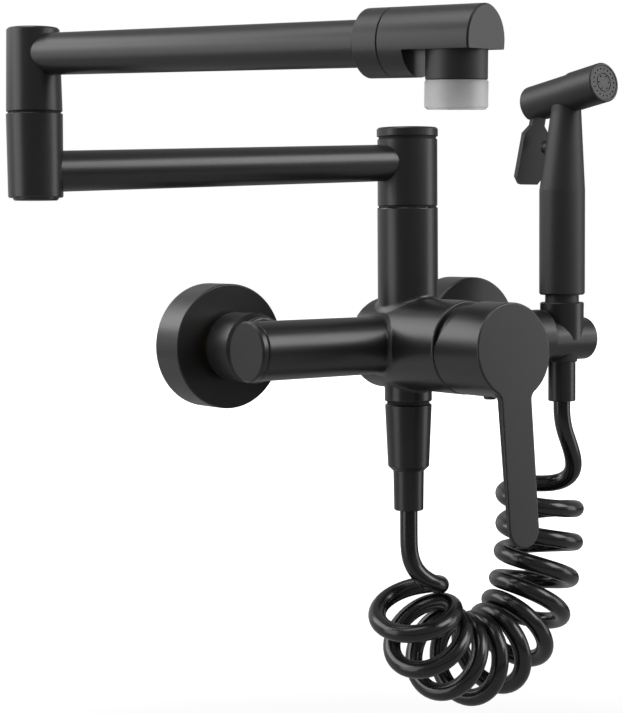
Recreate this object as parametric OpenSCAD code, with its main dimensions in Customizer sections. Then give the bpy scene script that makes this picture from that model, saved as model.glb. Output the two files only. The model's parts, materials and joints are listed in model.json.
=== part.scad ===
// Wall-mounted kitchen faucet: a bar mixer with one hanging lever, a swing spout
// of two jointed arms and a spray handset on a curly hose. Millimetres.
// The origin is midway between the two inlets on the wall plane. +X is the
// user's right, -Y comes towards the user and +Z is up.

/* [Wall unions] */
// Distance between the hot and cold inlet centres
inlet_spacing = 150; // [140:1:160]
// Distance from the wall to the axis of the bar
bar_reach = 58.2; // [57:0.2:64]
// Diameter of each wall flange
escutcheon_d = 58.4; // [50:0.2:70]
// Depth of each wall flange
escutcheon_depth = 18.9; // [14:0.1:19.5]
// Sheet thickness of each wall flange
escutcheon_wall = 1.4; // [1:0.1:2]
// Diameter of the union barrel that the nut screws on
barrel_d = 26.4; // [25:0.1:26.6]
// Diameter of the threaded stud that enters the wall
stud_d = 20.96; // [18:0.02:22]
// Length of the threaded stud
stud_len = 14; // [10:1:20]
// Bore of the water way through each union
union_bore_d = 12; // [9:0.5:13]
// Diameter of the union nuts
union_nut_d = 32.4; // [31:0.1:34]
// Length of each union nut
nut_len = 19; // [17:0.5:20]
// Diameter of the nipple that the union nut holds
nipple_d = 21.2; // [18:0.2:22]
// Thickness of the filter washer in each union
filter_t = 2.4; // [1.5:0.1:3]

/* [Bar and body] */
// Diameter of the bar
bar_d = 27; // [25:0.2:30]
// Bore of the bar
bar_bore_d = 17; // [12:0.5:20]
// Length of the bar beyond its left inlet
bar_left_over = 14.2; // [12:0.2:20]
// Length of the bar beyond its right inlet
bar_right_over = 10.5; // [9:0.2:14]
// Thickness of the end plug of the bar
bar_plug_t = 3.3; // [2:0.1:5]
// Diameter of the inlet bosses behind the bar
boss_d = 29.2; // [27.6:0.2:31]
// Distance from the bar axis back to the face of each boss
boss_len = 15.7; // [15:0.1:17]
// Diameter of the mixer body
body_d = 43.1; // [42:0.1:46]
// Distance from the bar axis back to the rear of the body
body_back = 17.8; // [16:0.2:22]
// Distance from the bar axis forward to the front face of the body
body_front = 43.9; // [42:0.1:50]
// Diameter of the post above the body
post_d = 28.5; // [27.6:0.1:32]
// Height of the fixed part of the post above the bar axis
post_h = 64.25; // [50:0.25:80]
// Diameter of the outlet boss below the body
outlet_d = 22.4; // [21:0.2:25]
// Distance from the bar axis down to the face of the outlet boss
outlet_drop = 27.35; // [25:0.05:34]
// Bore of the upright water way in the body
way_d = 13; // [9:0.5:14]

/* [Cartridge and lever] */
// Diameter of the cartridge
cartridge_d = 35; // [30:0.5:36]
// Radius of the domed cover in front of the cartridge
cover_r = 19.5; // [19:0.1:20]
// Lift of the lever in degrees
lever_lift = 24; // [10:1:24]
// Diameter of the lever housing
lever_d = 42.7; // [42.2:0.1:46]
// Distance from the lift axis to the front face at the housing's centre
lever_depth = 30.6; // [28:0.1:36]
// Forward lean of the lever face in degrees
lever_lean = 4.9; // [0:0.1:8]
// Width of the lever blade
blade_w = 17.8; // [12:0.2:24]
// Thickness of the blade at the housing
blade_t = 4; // [3:0.1:6]
// Thickness of the blade at its tip
blade_tip_t = 1.9; // [1.5:0.1:3]
// Distance from the housing's centre down to the tip of the blade
blade_len = 87; // [60:1:110]
// Width of the square lever stem
stem_w = 8; // [6:0.2:8.4]
// Diameter of the pin that the stem turns on
stem_pin_d = 3; // [2:0.1:3.4]

/* [Spout] */
// Diameter of both spout arms
arm_d = 17; // [15:0.2:18]
// Wall of both spout arms
arm_wall = 1.2; // [1:0.1:2]
// Distance from the post axis to the elbow axis
lower_reach = 192.85; // [150:0.05:230]
// Turn of the lower arm towards the wall at rest, in degrees
lower_turn = 1.34; // [0:0.01:10]
// Fall of the lower arm from the post to the elbow, in degrees
lower_fall = 2.03; // [0:0.01:3]
// Diameter of the swivel sleeve on the post
sleeve_d = 28.2; // [27:0.1:31]
// Length of the swivel sleeve on the post
sleeve_h = 31.35; // [28:0.05:40]
// Distance from the top of the post sleeve down to the arm axis
sleeve_arm_drop = 10.9; // [10:0.1:14]
// Width of the seam under the post sleeve
post_seam = 0.7; // [0.4:0.05:1.5]
// Width of the seam under the post cap
cap_seam = 1.15; // [0.6:0.05:2]
// Height of the post cap
cap_h = 4.15; // [3:0.05:8]
// Diameter of the post cap
cap_d = 28.8; // [28:0.1:32]
// Diameter of the spigot that the post sleeve turns on
post_spigot_d = 21; // [18:0.5:22]
// Diameter of the elbow at its seam
elbow_d = 23.2; // [22.4:0.1:26]
// Length of the lower elbow sleeve
elbow_low_h = 34.35; // [30:0.05:40]
// Length of the upper elbow sleeve
elbow_high_h = 33.95; // [30:0.05:40]
// Width of the seam between the elbow sleeves
elbow_seam = 0.8; // [0.4:0.05:1.5]
// Distance from the ends of the elbow to the arm axes
elbow_arm_inset = 10.6; // [10:0.1:14]
// Diameter of the spigot that the elbow turns on
elbow_spigot_d = 16; // [12:0.5:16]
// Length of the upper arm from the elbow axis to the end of the head
upper_reach = 216; // [170:1:260]
// Swing of the upper arm towards the user at rest, in degrees
upper_swing = 72.5; // [40:0.5:90]
// Fall of the upper arm towards the head, in degrees
upper_fall = 2.33; // [0:0.01:4]

/* [Spout head] */
// Diameter of the spout head
head_d = 24.7; // [23:0.1:28]
// Length of the spout head
head_len = 37.3; // [32:0.1:50]
// Length of the coupling ring behind the head
coupling_len = 11; // [8:0.1:16]
// Length of the part of the head that is cut flat below
head_flat_len = 27; // [25:0.5:30]
// Distance from the head axis down to the flat
head_flat_drop = 3; // [2.4:0.1:5]
// Turn of the head about the arm, in degrees
head_roll = 2.5; // [-5:0.5:5]
// Distance from the end of the head back to the outlet axis
outlet_inset = 12; // [11.6:0.1:14]
// Diameter of the aerator collar
collar_d = 21.6; // [19:0.1:22.4]
// Height of the aerator collar
collar_h = 10.4; // [8:0.1:14]
// Diameter of the clear aerator cup
cup_d = 22; // [20:0.1:23]
// Height of the clear aerator cup
cup_h = 10.1; // [6:0.1:14]

/* [Hose] */
// Diameter of the hose
hose_d = 8.5; // [6:0.1:8.6]
// Diameter of the hose nut at its top
hose_nut_d = 22.2; // [22:0.1:25]
// Length of the hose nut
hose_nut_len = 31.7; // [26:0.1:40]
// Width of the seam above the hose nut
hose_nut_seam = 1.4; // [0.8:0.1:2]
// Diameter of the left ferrule
ferrule_left_d = 14.6; // [13:0.1:16]
// Length of the left ferrule below the nut
ferrule_left_len = 19.05; // [16:0.05:19.05]
// Diameter of the right ferrule
ferrule_right_d = 13.8; // [12:0.1:14]
// Length of the right ferrule below the holder's axis
ferrule_right_drop = 33.4; // [30:0.1:33.4]

/* [Spray] */
// Distance from the right inlet to the handset's axis
handset_offset = 25; // [24.5:0.1:27]
// Diameter of the holder
holder_d = 21.4; // [20.6:0.1:23]
// Length of the holder beyond the handset's axis
holder_over = 16; // [14:0.1:22]
// Drop of the holder below the bar axis
holder_drop = 2; // [0:0.1:2.4]
// Diameter of the upright collar of the holder
holder_collar_d = 22; // [21:0.1:24]
// Height of the holder's collar above the bar axis
holder_collar_h = 16.7; // [14:0.1:20]
// Diameter of the handset's neck
neck_d = 17; // [16:0.1:18]
// Gap between the collar and the handle
neck_gap = 3.8; // [2:0.1:6]
// Diameter of the handle
handle_d = 22.9; // [20:0.1:25]
// Length of the straight part of the handle
handle_len = 52.5; // [45:0.5:53]
// Length of the tapered part of the handle
taper_len = 39; // [39:0.1:45]
// Diameter at the top of the taper
taper_d = 15.2; // [13:0.1:16]
// Forward lean of the taper
taper_shift = 2.7; // [0:0.1:4]
// Diameter of the front part of the spray head
spray_d = 19.5; // [18.6:0.1:20.4]
// Diameter of the rear part of the spray head
spray_rear_d = 18.4; // [17:0.1:18.6]
// Length of the spray head
spray_len = 54.2; // [52:0.1:60]
// Length of the wider front sleeve of the spray head
spray_step_len = 20.6; // [18:0.1:26]
// Distance from the handset's axis forward to the nozzle face
spray_front = 29.35; // [28:0.05:34]
// Upward tilt of the spray head, in degrees
spray_tilt = 8.75; // [5:0.05:12]
// Width of the trigger at its lower end
trigger_w = 18; // [14:0.5:20]
// Width of the trigger's neck
trigger_neck_w = 8.6; // [6:0.1:10]
// Thickness of the trigger
trigger_t = 2.6; // [2:0.1:3]
// Length of the trigger below the spray head
trigger_len = 31; // [26:0.5:34]
// Splay of the trigger away from the handle, in degrees
trigger_splay = 13.4; // [8:0.1:16]
// Diameter of the trigger pin
trigger_pin_d = 2.4; // [2:0.1:3]

/* [Hidden] */
$fn = 96;

// Fits
seat = 0.02;
run = 0.05;
free = 0.35;

// Union stack, as distances from the wall
inlet_x = inlet_spacing / 2;
bar_y = -bar_reach;
boss_w = bar_reach - boss_len;
nut_front_w = boss_w - 1;
nut_back_w = nut_front_w - nut_len;
nut_shoulder = nut_len - 8.5;
flange_front_w = nut_front_w - nut_shoulder;
flange_t = 2;
union_end_w = flange_front_w - flange_t - filter_t;
nipple_end_w = boss_w + 6.5;

// Body
bar_left_x = -inlet_x - bar_left_over;
bar_right_x = inlet_x + bar_right_over;
front_w = bar_reach + body_front;
// Cartridge body, shoulder, cup for the rotor, and ports
cartridge_body_len = 0.457 * cartridge_d;
cartridge_len = 0.657 * cartridge_d;
cartridge_cup_w = 0.514 * cartridge_d;
cartridge_port_d = 0.143 * cartridge_d;
cartridge_port_r = 0.243 * cartridge_d;
rotor_d = 0.7 * cartridge_d;
cavity_w = front_w - 0.857 * cartridge_d;
stub_d = outlet_d - 3.6;
stub_len = 12.6;

// Post and elbow heights
seam_z = post_h + post_seam;
sleeve_top_z = seam_z + sleeve_h;
cap_z = sleeve_top_z + cap_seam;
post_arm_z = sleeve_top_z - sleeve_arm_drop;
lower_rise = lower_reach * tan(lower_fall);
elbow_arm_z = post_arm_z - lower_rise;
elbow_bottom_z = elbow_arm_z - elbow_arm_inset;
elbow_seam_z = elbow_bottom_z + elbow_low_h;
elbow_top_z = elbow_seam_z + elbow_seam + elbow_high_h;
upper_z = elbow_top_z - elbow_arm_inset;
elbow_x = -lower_reach * cos(lower_turn);
elbow_y = bar_y + lower_reach * sin(lower_turn);
post_cope_r = post_spigot_d / 2 + 1.6;
elbow_cope_r = elbow_spigot_d / 2 + 1.4;
retainer_d = elbow_spigot_d + 1.8;

// Head along the upper arm
head_end = upper_reach;
head_start = head_end - head_len;
coupling_start = head_start - coupling_len;
tube_end = coupling_start + coupling_len / 2;
outlet_t = head_end - outlet_inset;
head_way_d = 10;
head_way_rise = head_way_d / 2 - head_flat_drop + 1.4;

// Hose fittings
hose_nut_z = -outlet_drop - hose_nut_seam;
hose_nut_end_z = hose_nut_z - hose_nut_len;
ferrule_left_end_z = hose_nut_end_z - ferrule_left_len;

// Handset
handset_x = inlet_x + handset_offset;
holder_end_x = handset_x + holder_over;
neck_seat_z = 6;
neck_bore_d = neck_d + 2 * free;
ferrule_bore_d = ferrule_right_d + 2 * free;
bush_d = ferrule_bore_d + 1;
bush_top_z = -7;
bush_end_z = -holder_drop - holder_d / 2 - 0.65;
handle_z = holder_collar_h + neck_gap;
taper_z = handle_z + handle_len;
spray_z = taper_z + taper_len + 12.95;
trigger_pin_y = 17.2;
trigger_pin_z = spray_z - 12.6;
trigger_neck_len = 5.6;
spray_bore_len = 37;
valve_z = taper_z + 22;
valve_tip_y = 14.1;

// Hose routes. The lead drops from the left ferrule and winds into the coil.
lead_points = [
  [0, -58.2, ferrule_left_end_z],
  [0, -58.2, -86],
  [0, -58.2, -92],
  [0.1, -58.3, -97.6],
  [0.6, -58.9, -102.8],
  [1.9, -60.2, -107.4],
  [4.2, -62.1, -111.2],
  [7.4, -63.9, -114],
  [11.2, -64.6, -115.9],
  [14.8, -63.4, -116.8],
  [17.1, -60.4, -117.1],
  [17.4, -56.6, -117.5],
  [16, -53, -118.2],
];
// The tail leaves the coil at the back and climbs to the right ferrule.
tail_points = [
  [93, -36.4, -77.5],
  [98.5, -37.6, -77.7],
  [103.4, -40.2, -77.9],
  [107.4, -43.9, -77.5],
  [110.1, -48.3, -75.9],
  [111.3, -52.3, -72.9],
  [110.9, -55.2, -68.9],
  [109.2, -57, -64.3],
  [107, -57.9, -59.5],
  [104.7, -58.2, -54.6],
  [102.5, -58.2, -49.6],
  [100.9, -58.2, -44.5],
  [100.1, -58.2, -39],
  [100, -58.2, -ferrule_right_drop],
];
// The coil's axis: a tight arc from the left under the body, a wider arc that
// brings it upright, then a straight climb
coil_r = 18.8;
coil_bend_r = 43;
coil_bend_from = 188.3;
coil_bend_to = 340.5;
coil_rise_r = 102;
coil_climb_x = 87.4;
coil_climb_z = -94.2;
coil_bend_pitch = 16.2;
coil_climb_pitch = 15.5;
// Set-back of the coil per millimetre to the right of its middle
coil_lean = 0.078;
coil_middle_x = 50;
coil_from = 0.1;
coil_to = 10.25;
coil_y = -58.2;
rings_per_loop = 24;
coil_rise_x = coil_climb_x - coil_rise_r;
coil_bend_x = coil_rise_x + (coil_rise_r - coil_bend_r) * cos(coil_bend_to);
coil_bend_z = coil_climb_z + (coil_rise_r - coil_bend_r) * sin(coil_bend_to);
coil_bend_len = coil_bend_r * (coil_bend_to - coil_bend_from) * PI / 180;
coil_rise_len = coil_bend_len + coil_rise_r * (360 - coil_bend_to) * PI / 180;
coil_rise_turns = coil_rise_len / coil_bend_pitch;

// Colours
black = [0.09, 0.09, 0.09];
rubber_black = [0.03, 0.03, 0.03];
rubber_grey = [0.2, 0.2, 0.2];
brass = [0.72, 0.58, 0.3];
steel = [0.6, 0.6, 0.62];
ceramic = [0.85, 0.85, 0.82];
frosted = [0.75, 0.76, 0.76, 0.6];

// Local +Z points to the user, with distances counted from the wall
module from_wall(x = 0, z = 0) {
  translate([x, 0, z]) rotate([90, 0, 0]) children();
}

// Local +Z points to +X, on the bar axis
module along_bar(drop = 0) {
  translate([0, bar_y, -drop]) rotate([0, 90, 0]) children();
}

// Local frame of the post axis
module at_post() {
  translate([0, bar_y, 0]) children();
}

// Local frame of the elbow axis
module at_elbow() {
  translate([elbow_x, elbow_y, 0]) children();
}

// Local frame of the handset axis
module at_handset() {
  translate([handset_x, bar_y, 0]) children();
}

// Local +Z runs down the lower arm from the post axis
module along_lower_arm() {
  at_post() translate([0, 0, post_arm_z]) rotate([0, 0, -lower_turn])
    rotate([0, -90 - lower_fall, 0]) children();
}

// Local +X runs along the upper arm from the elbow axis
module along_upper_arm(roll = 0) {
  at_elbow() translate([0, 0, upper_z]) rotate([0, 0, -upper_swing])
    rotate([0, upper_fall, 0]) rotate([roll, 0, 0]) children();
}

// Local +Z runs back from the nozzle face of the spray head
module along_spray() {
  at_handset() translate([0, -spray_front, spray_z])
    rotate([-90 - spray_tilt, 0, 0]) children();
}

// Rod along local Z with its two edges broken
module rod(d, z0, z1, e0 = 0, e1 = 0) {
  rotate_extrude()
    polygon([[0, z0], [d / 2 - e0, z0], [d / 2, z0 + e0], [d / 2, z1 - e1], [d / 2 - e1, z1], [0, z1]]);
}

// Tapered rod along local Z with its two edges broken
module cone(d0, d1, z0, z1, e0 = 0, e1 = 0) {
  rotate_extrude()
    polygon([[0, z0], [d0 / 2 - e0, z0], [d0 / 2, z0 + e0], [d1 / 2, z1 - e1], [d1 / 2 - e1, z1], [0, z1]]);
}

// Hole along local Z
module bore(d, z0, z1) {
  translate([0, 0, z0]) cylinder(d = d, h = z1 - z0);
}

// Rod with a bore right through it
module ring(d, hole, z0, z1, e0 = 0, e1 = 0) {
  difference() {
    rod(d, z0, z1, e0, e1);
    bore(hole, z0 - 1, z1 + 1);
  }
}

// Sweeps of the hose
function unit(v) = v / norm(v);

function coil_angle(s) =
  s < coil_bend_len
    ? coil_bend_from + s / coil_bend_r * 180 / PI
    : min(360, coil_bend_to + (s - coil_bend_len) / coil_rise_r * 180 / PI);

function coil_out(s) = [cos(coil_angle(s)), 0, sin(coil_angle(s))];

function coil_axis(s) =
  s < coil_bend_len
    ? [coil_bend_x, coil_y, coil_bend_z] + coil_bend_r * coil_out(s)
    : [coil_rise_x, coil_y, coil_climb_z + max(0, s - coil_rise_len)] + coil_rise_r * coil_out(s);

function coil_run(turn) =
  turn < coil_rise_turns
    ? turn * coil_bend_pitch
    : coil_rise_len + (turn - coil_rise_turns) * coil_climb_pitch;

function leant(p) = p + [0, coil_lean * (p[0] - coil_middle_x), 0];

function coil_point(turn) =
  let (s = coil_run(turn))
  leant(coil_axis(s) + coil_r * (-cos(360 * turn) * coil_out(s) + sin(360 * turn) * [0, 1, 0]));

function coil_heading(turn) = unit(coil_point(turn + 0.001) - coil_point(turn - 0.001));

function path_headings(p, first, last) =
  [for (i = [0:len(p) - 1])
    i == 0 ? first : i == len(p) - 1 ? last : unit(p[i + 1] - p[i - 1])];

// A side direction carried along the path without twist
function path_sides(t, start) =
  [for (i = 0, v = unit(cross(t[0], start)); i < len(t);
        i = i + 1, v = i < len(t) ? unit(v - (v * t[i]) * t[i]) : v) v];

module tube(p, first, last, sides) {
  t = path_headings(p, first, last);
  u = path_sides(t, abs(first[0]) < 0.7 ? [1, 0, 0] : [0, 0, 1]);
  n = len(p);
  r = hose_d / 2;
  points = [for (i = [0:n - 1]) for (k = [0:sides - 1])
    p[i] + r * (cos(360 * k / sides) * u[i] + sin(360 * k / sides) * cross(t[i], u[i]))];
  start = [for (k = [1:sides - 2]) [0, k, k + 1]];
  end = [for (k = [1:sides - 2]) [(n - 1) * sides, (n - 1) * sides + k + 1, (n - 1) * sides + k]];
  walls = [for (i = [0:n - 2]) for (k = [0:sides - 1])
    let (a = i * sides + k, b = i * sides + (k + 1) % sides)
    each [[a, a + sides, b + sides], [a, b + sides, b]]];
  polyhedron(points = points, faces = concat(start, walls, end));
}

// Least gap between neighbouring loops, measured on points 3.75 degrees apart
gap_step = 1 / 96;
gap_points = [for (turn = [coil_from:gap_step:coil_to]) coil_point(turn)];
gap_least = min([for (i = [0:2:len(gap_points) - 62])
  min([for (j = [i + 60:min(i + 140, len(gap_points) - 1)]) norm(gap_points[i] - gap_points[j])])]);
echo(least_gap_between_loops_mm = gap_least - hose_d);

// Wall unions
module wall_union(x) {
  color(brass) from_wall(x) difference() {
    union() {
      rod(stud_d, -stud_len, 0.5, 1, 0);
      rod(barrel_d + 9, 0, 5, 0.5, 0.5);
      rod(barrel_d, 4, union_end_w, 0, 0.6);
    }
    bore(union_bore_d, -stud_len - 1, union_end_w + 1);
  }
}

module wall_union_left() { wall_union(-inlet_x); }
module wall_union_right() { wall_union(inlet_x); }

module escutcheon(x) {
  r = escutcheon_d / 2;
  w = escutcheon_wall;
  edge = 0.8;
  color(black) from_wall(x) difference() {
    rotate_extrude()
      polygon([
        [barrel_d / 2 + 0.15, escutcheon_depth - w], [r - w, escutcheon_depth - w], [r - w, 0],
        [r - 0.3, 0], [r, 0.3], [r, escutcheon_depth - edge],
        for (a = [15:15:75]) [r - edge + edge * cos(a), escutcheon_depth - edge + edge * sin(a)],
        [r - edge, escutcheon_depth], [barrel_d / 2 + 0.15, escutcheon_depth],
      ]);
  }
}

module escutcheon_left() { escutcheon(-inlet_x); }
module escutcheon_right() { escutcheon(inlet_x); }

module filter_washer(x) {
  color(rubber_black) from_wall(x)
    ring(nipple_d + 3.2, union_bore_d, union_end_w, union_end_w + filter_t);
}

module filter_washer_left() { filter_washer(-inlet_x); }
module filter_washer_right() { filter_washer(inlet_x); }

module union_nut(x) {
  slot = 5;
  color(black) from_wall(x) difference() {
    rod(union_nut_d, nut_back_w, nut_front_w, 0.8, 1.6);
    bore(barrel_d + 2 * seat, nut_back_w - 1, flange_front_w);
    bore(nipple_d + 0.3, flange_front_w - 1, nut_front_w + 1);
    // Slot for a hook spanner, low on the right
    rotate([0, 0, -140])
      translate([-slot / 2, union_nut_d / 2 - 1.2, nut_back_w + 7]) cube([slot, 5, 6]);
  }
}

module union_nut_left() { union_nut(-inlet_x); }
module union_nut_right() { union_nut(inlet_x); }

module inlet_nipple(x) {
  color(brass) from_wall(x) difference() {
    union() {
      rod(nipple_d + 3.6, flange_front_w - flange_t, flange_front_w, 0.3, 0.3);
      rod(nipple_d, flange_front_w - 0.5, nipple_end_w, 0, 0.5);
    }
    bore(union_bore_d, 0, nipple_end_w + 1);
  }
}

module inlet_nipple_left() { inlet_nipple(-inlet_x); }
module inlet_nipple_right() { inlet_nipple(inlet_x); }

// Bar, body, post and outlet, one casting
module mixer_body() {
  web = way_d / 2 + 4.5;
  port_x = web + 3.2;
  color(black) difference() {
    union() {
      along_bar() rod(bar_d, bar_left_x, bar_right_x, 0.3, 2);
      from_wall() rod(body_d, bar_reach - body_back, front_w, 1.2, 0.4);
      at_post() rod(post_d, 0, post_h, 0, 0.4);
      at_post() rod(outlet_d, -outlet_drop, 0, 0.4, 0);
      at_post() rod(stub_d, -outlet_drop - stub_len, 0, 0.8, 0);
      for (x = [-inlet_x, inlet_x]) from_wall(x) {
        rod(boss_d, boss_w, boss_w + 4.3, 0.4, 0.8);
        rod(2 * bar_right_over - 2.6, boss_w + 2, bar_reach);
      }
    }
    along_bar() {
      bore(bar_bore_d, bar_left_x - 1, -web);
      bore(bar_bore_d, web, bar_right_x - 5);
      bore(9.04, bar_right_x - 3.5, bar_right_x + 1);
      bore(5, bar_right_x - 6, bar_right_x);
    }
    at_post() {
      bore(way_d, -outlet_drop - stub_len - 1, post_h + 1);
      bore(post_spigot_d + 2 * seat, post_h - 18, post_h + 1);
    }
    for (x = [-inlet_x, inlet_x]) from_wall(x) {
      bore(nipple_d + 2 * seat, boss_w - 1, nipple_end_w);
      bore(union_bore_d, boss_w, bar_reach);
    }
    from_wall() {
      bore(cartridge_d + 2 * run, cavity_w, front_w + 1);
      bore(7, bar_reach, cavity_w + 1);
    }
    for (x = [-port_x, port_x]) from_wall(x) bore(5, bar_reach, cavity_w + 1);
  }
}

module bar_plug() {
  color(black) along_bar() {
    rod(bar_d + 0.4, bar_left_x - bar_plug_t, bar_left_x, 0.9, 0.4);
    rod(bar_bore_d - 2 * seat, bar_left_x - 0.5, bar_left_x + 5, 0, 0.5);
  }
}

module diverter() {
  color(brass) at_post() difference() {
    rod(way_d - 2 * seat, -outlet_drop + 3, -10, 0.4, 0.4);
    bore(way_d - 7, -outlet_drop, -9);
    translate([0, 0, -outlet_drop / 2 - 4]) rotate([0, 90, 0]) cylinder(d = 4, h = way_d, center = true);
  }
}

// Cartridge
module cartridge() {
  color(ceramic) from_wall() difference() {
    union() {
      rod(cartridge_d, cavity_w, cavity_w + cartridge_body_len, 0.5, 0.3);
      rod(cartridge_d - 4, cavity_w + cartridge_body_len - 1, cavity_w + cartridge_len, 0, 0.5);
    }
    bore(rotor_d + 2 * run, cavity_w + cartridge_cup_w, cavity_w + cartridge_len + 1);
    for (a = [90, 210, 330]) rotate([0, 0, a]) translate([cartridge_port_r, 0, 0])
      bore(cartridge_port_d, cavity_w - 1, cavity_w + cartridge_port_d);
  }
}

module cartridge_nut() {
  color(brass) from_wall()
    ring(cartridge_d, cartridge_d - 4 + 2 * seat, cavity_w + cartridge_body_len, front_w - 0.6, 0.3, 0.5);
}

module cartridge_cover() {
  color(black) from_wall() difference() {
    intersection() {
      translate([0, 0, front_w]) sphere(r = cover_r);
      bore(2 * cover_r + 2, front_w, front_w + 4.9);
    }
    bore(30, front_w - 1, front_w + 6);
  }
}

module cartridge_rotor() {
  color(ceramic) from_wall() difference() {
    union() {
      rod(rotor_d, cavity_w + cartridge_cup_w, cavity_w + cartridge_len + 1, 0.3, 0);
      rod(rotor_d - 0.5, cavity_w + cartridge_len, front_w + 3.4, 0, 0.6);
    }
    translate([-stem_w / 2 - 0.15, -15, front_w - 6.5]) cube([stem_w + 0.3, 30, 20]);
    translate([0, 0, front_w]) rotate([0, 90, 0]) cylinder(d = stem_pin_d, h = 40, center = true);
  }
}

module stem_pin() {
  color(steel) from_wall() translate([0, 0, front_w]) rotate([0, 90, 0])
    cylinder(d = stem_pin_d, h = 23, center = true);
}

module lever_stem() {
  color(steel) from_wall() difference() {
    translate([-stem_w / 2, -stem_w / 2, front_w - 5]) cube([stem_w, stem_w, 29]);
    translate([0, 0, front_w]) rotate([0, 90, 0])
      cylinder(d = stem_pin_d + 2 * run, h = 40, center = true);
  }
}

// Lever: a housing and a blade with one leaning front face
lever_back = 0.2;
boss_back_low = 10.1;
boss_back_high = 15;
screw_w = 14.4;

module lever_outline() {
  r = blade_w / 2;
  circle(d = lever_d);
  translate([-r, -blade_len + r]) square([blade_w, blade_len - r]);
  translate([0, -blade_len + r]) circle(r = r);
}

// Slab behind the leaning front plane that thins towards the tip of the blade
module lever_slab() {
  top = lever_d / 2;
  low = -blade_len - 5;
  slope = tan(lever_lean);
  rotate([90, 0, 90]) linear_extrude(height = 80, center = true)
    polygon([
      [top, lever_depth - top * slope], [low, lever_depth - low * slope],
      [low, lever_depth - low * slope - blade_tip_t], [0, lever_depth - blade_t],
      [top, lever_depth - top * slope - blade_t],
    ]);
}

module lever_front() {
  span = 200;
  translate([0, 0, lever_depth]) rotate([-lever_lean, 0, 0])
    translate([-span / 2, -span / 2, 0]) cube([span, span, span]);
}

module lever_handle() {
  color(black) from_wall() translate([0, 0, front_w]) difference() {
    union() {
      bore(lever_d, lever_back, lever_depth + 4);
      intersection() {
        lever_slab();
        linear_extrude(height = lever_depth + 20) lever_outline();
      }
    }
    lever_front();
    // Relief that lets the housing tip back over the cover
    translate([0, 0, lever_back]) rotate([lever_lift + 1, 0, 0])
      translate([-40, 0, -40]) cube([80, 60, 40]);
    bore(40, -1, boss_back_low);
    intersection() {
      bore(40, -1, boss_back_high);
      translate([-40, 5, -1]) cube([80, 40, 40]);
    }
    translate([-stem_w / 2 - 0.05, -stem_w / 2 - 0.05, 0]) cube([stem_w + 0.1, stem_w + 0.1, 24.2]);
    translate([0, 0, screw_w]) rotate([90, 0, 0]) {
      cylinder(d = 4.6, h = 60);
      translate([0, 0, lever_d / 2 - 5]) cylinder(d = 5.8 + 2 * seat, h = 20);
    }
  }
}

module lever_set_screw() {
  color(steel) from_wall() translate([0, 0, front_w + screw_w]) rotate([90, 0, 0])
    translate([0, 0, stem_w / 2]) cylinder(d = 4.6 - 2 * seat, h = lever_d / 2 - 5.5 - stem_w / 2);
}

module lever_plug() {
  color(black) from_wall() translate([0, 0, front_w + screw_w]) rotate([90, 0, 0])
    rod(5.8, lever_d / 2 - 5, lever_d / 2 + 1.2, 0, 0.6);
}

// Post
module post_spigot() {
  color(brass) at_post() difference() {
    rod(post_spigot_d, post_h - 18, cap_z, 0, 0.4);
    bore(14, post_h - 19, cap_z + 1);
    for (a = [0, 90]) translate([0, 0, post_arm_z]) rotate([0, 90, a])
      cylinder(d = 9, h = 40, center = true);
    for (z = [seam_z + 5, sleeve_top_z - 3.4]) difference() {
      bore(post_spigot_d + 2, z - 1, z + 1);
      bore(post_spigot_d - 2.4, z - 2, z + 2);
    }
  }
}

module post_seam_washer() {
  color(rubber_black) at_post()
    ring(post_d - 1.3, post_spigot_d + 2 * run, post_h, seam_z - run);
}

module post_cap_washer() {
  color(rubber_black) at_post()
    ring(cap_d - 1.8, post_spigot_d + 2 * run, sleeve_top_z + run, cap_z);
}

module post_cap() {
  color(black) at_post() {
    rod(cap_d, cap_z, cap_z + cap_h, 0.2, 0.8);
    rod(14 - 2 * seat, cap_z - 5, cap_z + 0.5, 0.5, 0);
  }
}

module post_sleeve() {
  color(black) difference() {
    at_post() difference() {
      rod(sleeve_d, seam_z, sleeve_top_z, 0.3, 0.3);
      bore(post_spigot_d + 2 * 0.07, seam_z - 1, sleeve_top_z + 1);
    }
    difference() {
      along_lower_arm() bore(arm_d + 2 * seat, 0, 40);
      at_post() bore(2 * post_cope_r, 0, 200);
    }
    along_lower_arm() bore(arm_d - 2 * arm_wall - 1, 0, 40);
  }
}

// Arms
module lower_arm() {
  color(black) difference() {
    along_lower_arm() difference() {
      bore(arm_d, 0, lower_reach / cos(lower_fall));
      bore(arm_d - 2 * arm_wall, -10, lower_reach + 20);
    }
    at_post() bore(2 * post_cope_r, 0, 200);
    at_elbow() bore(2 * elbow_cope_r, 0, 200);
  }
}

module elbow_lower_sleeve() {
  color(black) difference() {
    at_elbow() difference() {
      cone(elbow_d - 0.6, elbow_d, elbow_bottom_z, elbow_seam_z, 0.5, 0.25);
      bore(elbow_spigot_d + 2 * run, elbow_bottom_z - 1, elbow_seam_z + 1);
      bore(retainer_d + 2 * free, elbow_bottom_z - 1, elbow_bottom_z + 5);
    }
    difference() {
      along_lower_arm() bore(arm_d + 2 * seat, lower_reach - 30, lower_reach / cos(lower_fall));
      at_elbow() bore(2 * elbow_cope_r, 0, 200);
    }
    along_lower_arm()
      bore(arm_d - 2 * arm_wall - 1, lower_reach - 30, lower_reach / cos(lower_fall));
  }
}

module elbow_plug() {
  color(black) at_elbow() {
    rod(retainer_d + 2 * free + 0.3, elbow_bottom_z - 1.15, elbow_bottom_z, 0.7, 0);
    rod(retainer_d + 2 * free - 2 * seat, elbow_bottom_z - 0.5, elbow_bottom_z + 2.6, 0, 0.3);
  }
}

module elbow_washer() {
  color(rubber_black) at_elbow()
    ring(elbow_d - 1.6, elbow_spigot_d + 2 * run, elbow_seam_z, elbow_seam_z + elbow_seam - run);
}

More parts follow.
